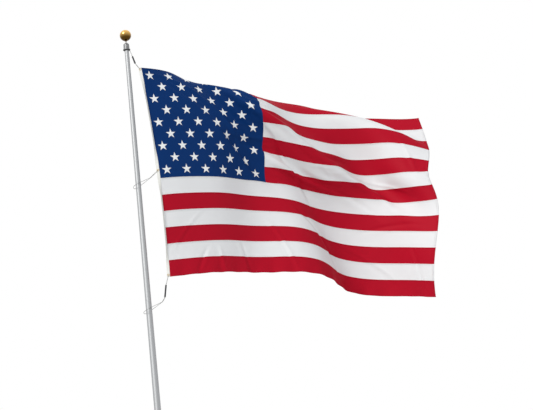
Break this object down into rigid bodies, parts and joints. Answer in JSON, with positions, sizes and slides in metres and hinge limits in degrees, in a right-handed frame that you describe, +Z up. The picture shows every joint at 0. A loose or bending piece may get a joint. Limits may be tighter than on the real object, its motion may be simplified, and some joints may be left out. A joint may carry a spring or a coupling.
{
  "type": "flagpole",
  "caption": "Tapered aluminium flagpole with a cast base shoe, a revolving truck with an internal halyard, a gilt ball and a flying striped and starred flag.",
  "frame": {"origin": "centre of the base shoe's underside, on the ground", "axes": "+Z runs up the pole, +X points from the pole towards the flag's fly, and the picture looks along +Y"},
  "size_m": [3.6477, 1.729, 10.915],
  "materials": {
    "cast_base": "cast, lightly brushed",
    "satin_tube": "satin, directional polish",
    "satin_trim": "satin",
    "satin_door": "satin",
    "steel_fittings": "stainless, polished",
    "bearing_liner": "black bearing plastic",
    "cast_truck": "cast, weathered",
    "black_skirt": "black, matt",
    "sheave_plastic": "natural nylon",
    "gilt_ball": "gold anodised",
    "wire_rope": "stainless wire rope",
    "rubber_cover": "black rubber",
    "canvas_header": "white canvas duck",
    "flag_nylon": "sewn nylon in red, white and blue",
    "brass_grommet": "rolled brass"
  },
  "bodies": {
    "pole": {"base_shoe": "cast_base", "pole_shaft": "satin_tube", "door_frame": "satin_trim", "access_door": "satin_door", "door_hinge": "steel_fittings", "door_lock": "steel_fittings", "truck_sleeve": "bearing_liner", "thrust_bearing": "bearing_liner"},
    "truck": {"truck_stem": "steel_fittings", "truck_housing": "cast_truck", "truck_skirt": "black_skirt", "halyard_sheave": "sheave_plastic", "sheave_axle": "steel_fittings", "ball_spindle": "steel_fittings", "ball_nut": "steel_fittings", "ball_finial": "gilt_ball", "halyard_cable": "wire_rope", "halyard_leader": "wire_rope"},
    "flag": {"leader_ferrule": "wire_rope", "top_snap_cover": "rubber_cover", "top_snap_hook": "steel_fittings", "flag_header": "canvas_header", "flag_cloth": "flag_nylon", "grommet_top": "brass_grommet", "grommet_middle": "brass_grommet", "grommet_bottom": "brass_grommet", "mid_snap_link": "steel_fittings", "mid_sling_ferrule": "wire_rope", "mid_sling": "wire_rope", "lower_snap_hook": "steel_fittings", "lower_snap_cover": "rubber_cover", "lower_ferrule": "wire_rope", "lower_sling": "wire_rope"}
  },
  "joints": [
    {"name": "truck_turn", "type": "hinge", "parent": "pole", "child": "truck", "pos_m": [0, 0, 10.675], "axis": [0, 0, 1], "continuous": true},
    {"name": "flag_hoist", "type": "slide", "parent": "truck", "child": "flag", "axis": [0, 0, -1], "range_m": [0, 6.1], "deforming": ["halyard_leader"]}
  ]
}
